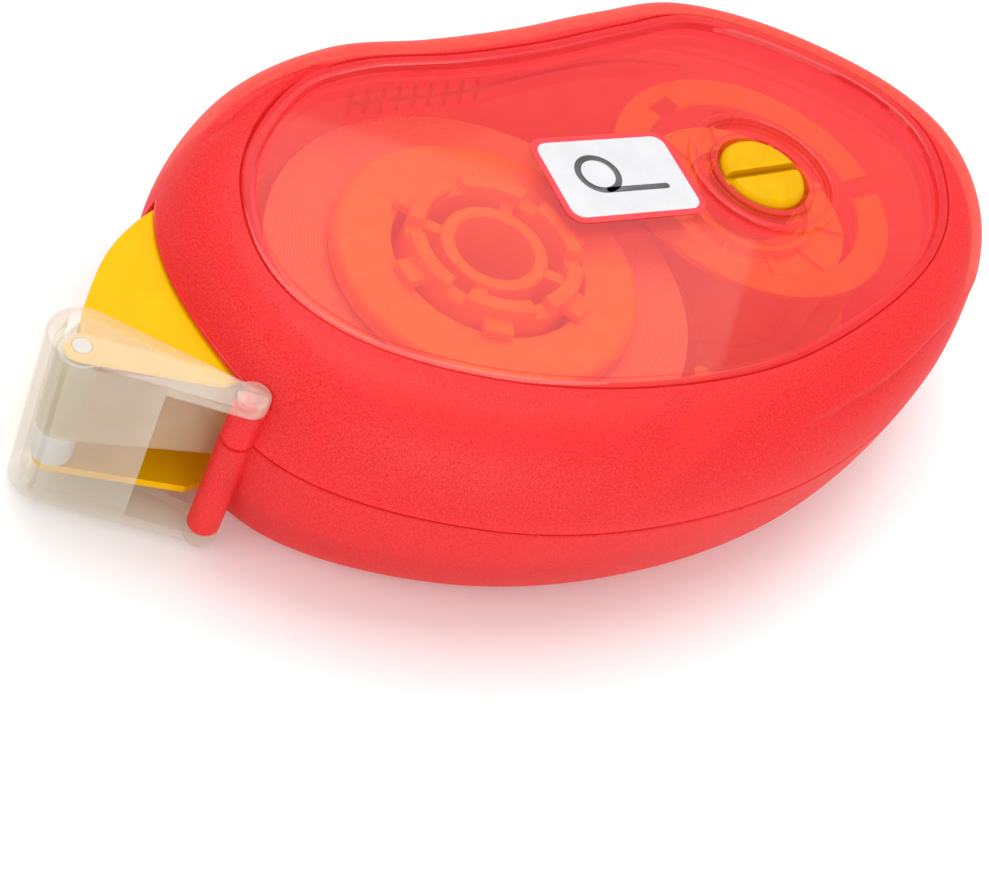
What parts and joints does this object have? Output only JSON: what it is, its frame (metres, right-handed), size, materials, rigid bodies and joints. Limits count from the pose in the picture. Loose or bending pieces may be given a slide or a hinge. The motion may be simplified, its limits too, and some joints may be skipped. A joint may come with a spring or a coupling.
{
  "type": "correction tape roller",
  "caption": "Palm-sized refillable correction tape roller with a translucent housing, a yellow tape cartridge, geared spools, a tension knob and a swinging clear tip cap.",
  "frame": {"origin": "where the supply spool's axis meets the flat rear face", "axes": "+Z out of the window, along the spool axes; +X from the supply spool to the take-up spool; the tip is at -X"},
  "size_m": [0.1287, 0.0693, 0.028],
  "materials": {
    "cover_red": "frosted translucent red, fine grain",
    "window_red": "clear polished red",
    "badge": "printed silver with a red edge",
    "cartridge_yellow": "satin moulded yellow",
    "spool_yellow": "satin moulded yellow",
    "knob_yellow": "glossy moulded yellow",
    "gear_white": "moulded natural acetal",
    "roller_grey": "satin light grey",
    "tape_white": "smooth coated tape",
    "liner": "glazed release paper",
    "ring_rubber": "black friction ring",
    "cap_clear": "clear moulded polystyrene"
  },
  "bodies": {
    "housing": {"front_cover": "cover_red", "window": "window_red", "rear_cover": "cover_red", "badge": "badge", "cartridge_base": "cartridge_yellow", "nose_cover": "cartridge_yellow", "take_up_ring": "cartridge_yellow", "tip_axle": "roller_grey", "tape_feed": "tape_white", "tape_return": "liner"},
    "cap": {"cap": "cap_clear"},
    "tip_roller": {"tip_roller": "roller_grey"},
    "supply_spool": {"supply_spool": "spool_yellow", "supply_tape": "tape_white"},
    "supply_gear": {"supply_gear": "gear_white", "clutch_hub": "spool_yellow", "friction_ring": "ring_rubber"},
    "take_up": {"take_up_gear": "gear_white", "take_up_spool": "spool_yellow", "take_up_tape": "liner", "tension_knob": "knob_yellow"}
  },
  "joints": [
    {"name": "cap_hinge", "type": "hinge", "parent": "housing", "child": "cap", "pos_m": [-0.0351, -0.0096, 0.012], "axis": [0, 0, 1], "range_deg": [0, 120]},
    {"name": "supply_spin", "type": "hinge", "parent": "housing", "child": "supply_spool", "pos_m": [0, 0, 0.0151], "axis": [0, 0, 1], "continuous": true},
    {"name": "gear_spin", "type": "hinge", "parent": "housing", "child": "supply_gear", "pos_m": [0, 0, 0.0069], "axis": [0, 0, 1], "continuous": true},
    {"name": "take_up_spin", "type": "hinge", "parent": "housing", "child": "take_up", "pos_m": [0.039, 0, 0.0069], "axis": [0, 0, 1], "continuous": true},
    {"name": "tip_spin", "type": "hinge", "parent": "housing", "child": "tip_roller", "pos_m": [-0.0473, 0.0022, 0.0129], "axis": [0, 0, 1], "continuous": true}
  ],
  "couplings": [
    {"joint": "gear_spin", "follows": "supply_spin", "ratio": 1},
    {"joint": "take_up_spin", "follows": "supply_spin", "ratio": -2.1579},
    {"joint": "tip_spin", "follows": "supply_spin", "ratio": 11.395}
  ]
}
